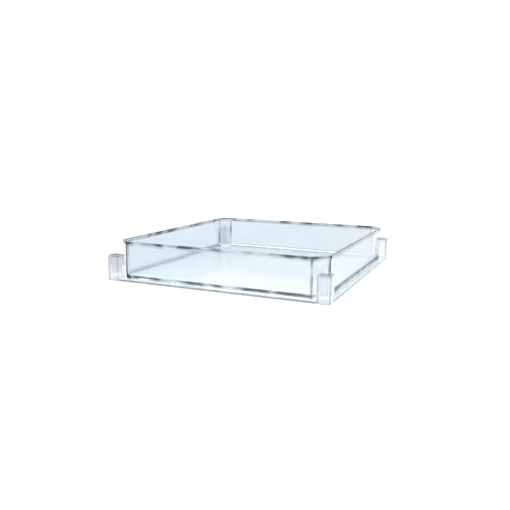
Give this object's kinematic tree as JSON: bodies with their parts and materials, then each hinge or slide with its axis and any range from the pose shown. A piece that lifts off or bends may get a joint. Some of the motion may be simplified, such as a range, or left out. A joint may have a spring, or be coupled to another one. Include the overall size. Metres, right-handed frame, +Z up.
{
  "type": "letter tray",
  "caption": "Shallow clear plastic letter tray with equal walls on all sides, facet corners, a lip round the rim and short open corner posts for stacking.",
  "frame": {"origin": "centre of the footprint, on the ground under the feet", "axes": "+X to the tray's right, +Y from the front short wall to the back short wall, +Z up"},
  "size_m": [0.297, 0.321, 0.0515],
  "materials": {
    "clear_base": "clear, polished, faint blue",
    "clear_wall": "clear, polished, faint blue",
    "clear_post": "clear, polished, faint blue",
    "clear_saddle": "clear, polished, faint teal",
    "foot_pad": "soft milky elastomer, matt"
  },
  "bodies": {
    "root": {"base_plate": "clear_base", "wall_front": "clear_wall", "wall_right": "clear_wall", "wall_back": "clear_wall", "wall_left": "clear_wall", "facet_front_right": "clear_wall", "facet_back_right": "clear_wall", "facet_back_left": "clear_wall", "facet_front_left": "clear_wall", "post_front_right": "clear_post", "post_back_right": "clear_post", "post_back_left": "clear_post", "post_front_left": "clear_post", "saddle_front_right": "clear_saddle", "saddle_back_right": "clear_saddle", "saddle_back_left": "clear_saddle", "saddle_front_left": "clear_saddle", "foot_front_right": "foot_pad", "foot_back_right": "foot_pad", "foot_back_left": "foot_pad", "foot_front_left": "foot_pad"}
  },
  "joints": []
}
